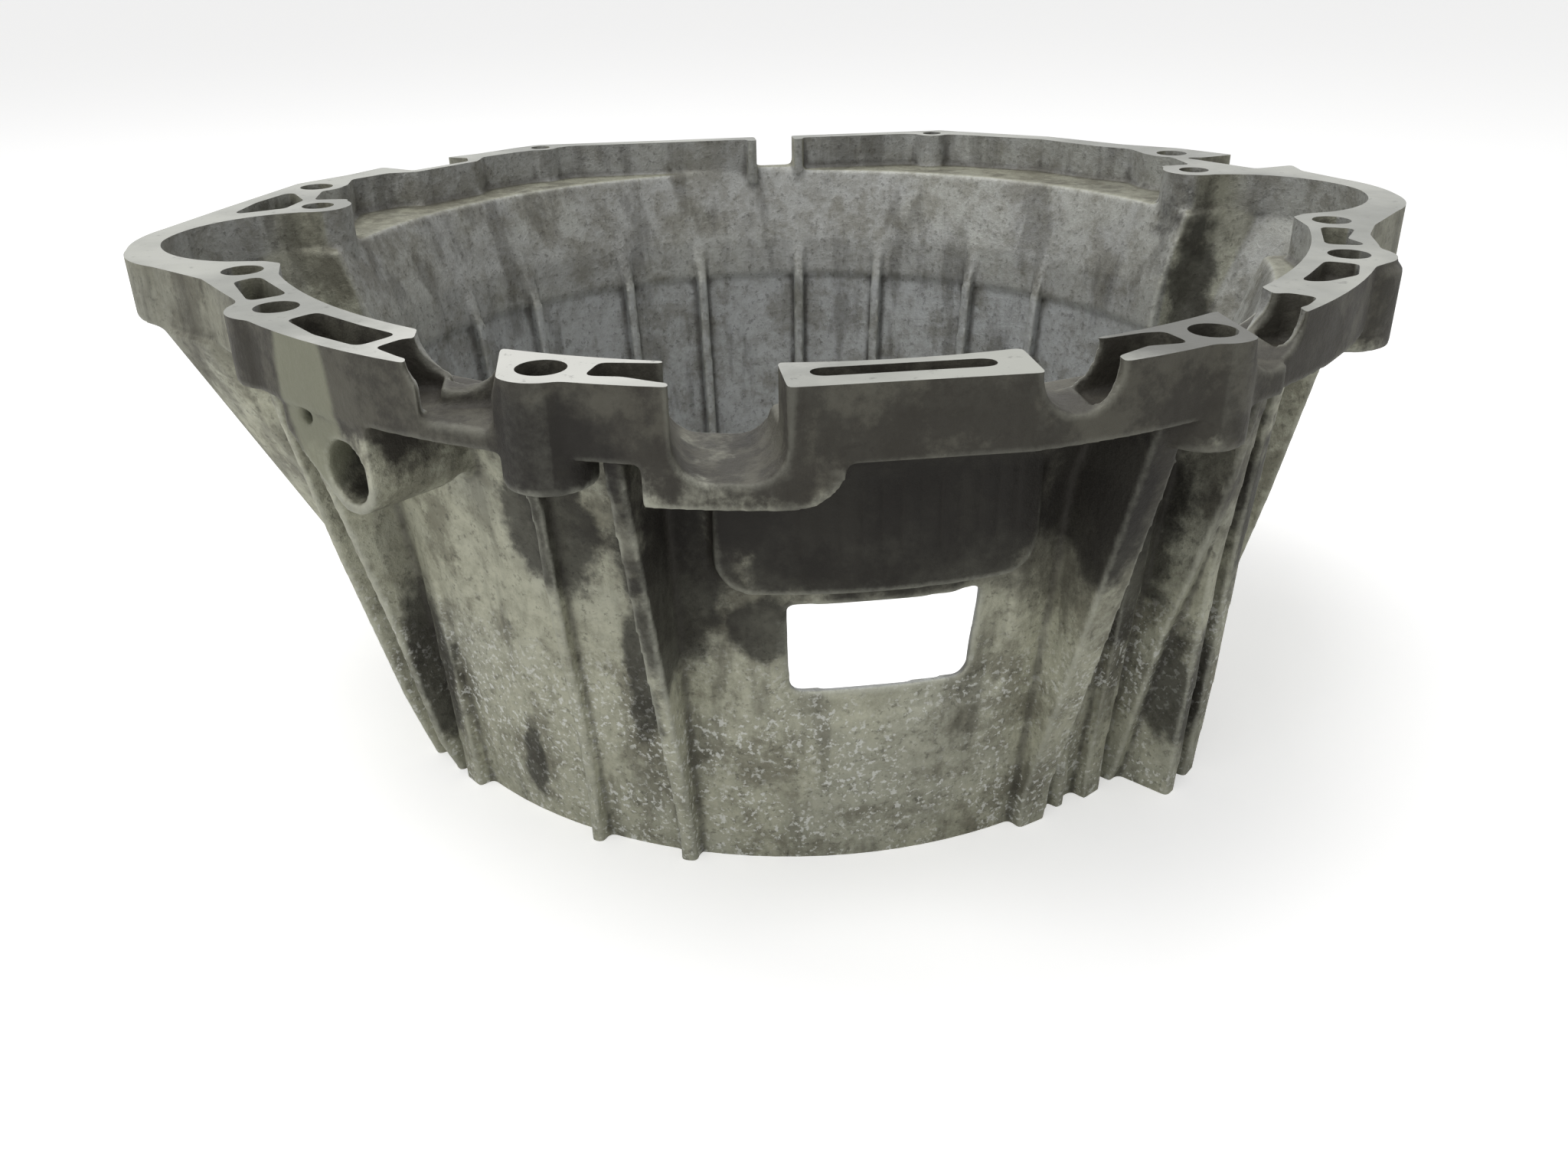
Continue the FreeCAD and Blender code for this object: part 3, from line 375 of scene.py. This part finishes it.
BRIGHT_CUT = (0.60, 0.60, 0.56, 1)
PLAIN_CUT = (0.42, 0.425, 0.385, 1)
GREYED_CUT = (0.27, 0.275, 0.25, 1)
DULL_CUT = (0.13, 0.13, 0.115, 1)
colour = blend(tree, patches(tree, place, GREYING, 0.38, 0.62), GREYED_CUT, PLAIN_CUT)
bright = stain(tree, place, (-0.075, -0.150, 0.176), (0.060, 0.050, 0.030), 0.8, 0.4)
colour = blend(tree, reckon(tree, "MULTIPLY", bright, 0.9), colour, BRIGHT_CUT)
dull = stain(tree, place, (0.085, -0.172, 0.176), (0.034, 0.034, 0.030), 0.8, 0.35)
colour = blend(tree, dull, colour, DULL_CUT)
colour = blend(tree, patches(tree, place, DULL_SPOTS, 0.60, 0.70, 0.5), colour, DULL_CUT)
tree.links.new(colour, surface.inputs["Base Color"])
surface.inputs["Metallic"].default_value = 0.75
medium = grain(tree, place, *DAPPLE)
tree.links.new(reckon(tree, "MULTIPLY_ADD", medium, 0.25, 0.28), surface.inputs["Roughness"])
cutter_marks = grain(tree, stretched, *CUTTER_MARKS)
marks = add(tree, "ShaderNodeBump", {"Strength": 0.12, "Distance": 0.0003, "Height": cutter_marks})
tree.links.new(marks.outputs[0], surface.inputs["Normal"])
housing.data.materials.append(milled_metal)
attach(housing, "root")
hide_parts("bell_housing")

# ---------------------------------------------------------------- floor
# A wide sheet of white paper that keeps the housing's soft shadow.
PAPER_HALF_WIDTH = 12
PAPER_GLOW = 0.50
sheet = bmesh.new()
bmesh.ops.create_grid(sheet, x_segments=1, y_segments=1, size=PAPER_HALF_WIDTH)
paper_mesh = bpy.data.meshes.new("paper")
sheet.to_mesh(paper_mesh)
sheet.free()
paper = bpy.data.objects.new("paper", paper_mesh)
bpy.context.scene.collection.objects.link(paper)
white_paper = bpy.data.materials.new("white_paper")
white_paper.use_nodes = True
tree = white_paper.node_tree
surface = tree.nodes["Principled BSDF"]
surface.inputs["Base Color"].default_value = (0.86, 0.86, 0.855, 1)
surface.inputs["Roughness"].default_value = 0.9
surface.inputs["Specular IOR Level"].default_value = 0.1
looked_at = add(tree, "ShaderNodeLightPath", {}).outputs
surface.inputs["Emission Color"].default_value = (1, 1, 1, 1)
glow = reckon(tree, "MULTIPLY", looked_at["Is Camera Ray"], PAPER_GLOW)
tree.links.new(glow, surface.inputs["Emission Strength"])
paper_mesh.materials.append(white_paper)

# ---------------------------------------------------------------- light
# Soft light from a wide lamp overhead and a weaker one at the left, with a white room all round
# that lights the housing less than it shows to the camera and in reflections.
ROOM_LIGHT = 0.40
world = bpy.data.worlds.new("room")
bpy.context.scene.world = world
world.use_nodes = True
tree = world.node_tree
background = tree.nodes["Background"]
looked_at = add(tree, "ShaderNodeLightPath", {}).outputs
seen = reckon(tree, "MAXIMUM", looked_at["Is Camera Ray"], looked_at["Is Glossy Ray"])
seen = reckon(tree, "MAXIMUM", seen, looked_at["Is Transmission Ray"])
room = reckon(tree, "MULTIPLY_ADD", seen, 1 - ROOM_LIGHT, ROOM_LIGHT)
tree.links.new(room, background.inputs["Strength"])
background.inputs["Color"].default_value = (1, 1, 1, 1)

lit_spot = Vector((0, 0, 0.1))
for name, spot, width, power in (
    ("ceiling", (-0.30, 0.10, 1.5), 1.2, 15.0),
    ("window", (-1.0, -1.1, 0.7), 0.9, 3.5),
):
    lamp = bpy.data.lights.new(name, "AREA")
    lamp.size = width
    lamp.energy = power
    stand = bpy.data.objects.new(name, lamp)
    stand.location = spot
    stand.rotation_euler = (lit_spot - Vector(spot)).to_track_quat("-Z", "Y").to_euler()
    bpy.context.scene.collection.objects.link(stand)

# ---------------------------------------------------------------- camera
# Held a little above the engine face on the sensor side, and left of the middle.
lens = bpy.data.cameras.new("camera")
lens.sensor_width = 36
lens.lens = 30.34
camera = bpy.data.objects.new("camera", lens)
camera.location = (-0.0675, -0.4878, 0.273)
camera.rotation_euler = (radians(62.886), radians(0.859), radians(-7.847))
bpy.context.scene.collection.objects.link(camera)
bpy.context.scene.camera = camera
bpy.context.scene.view_settings.view_transform = "Standard"
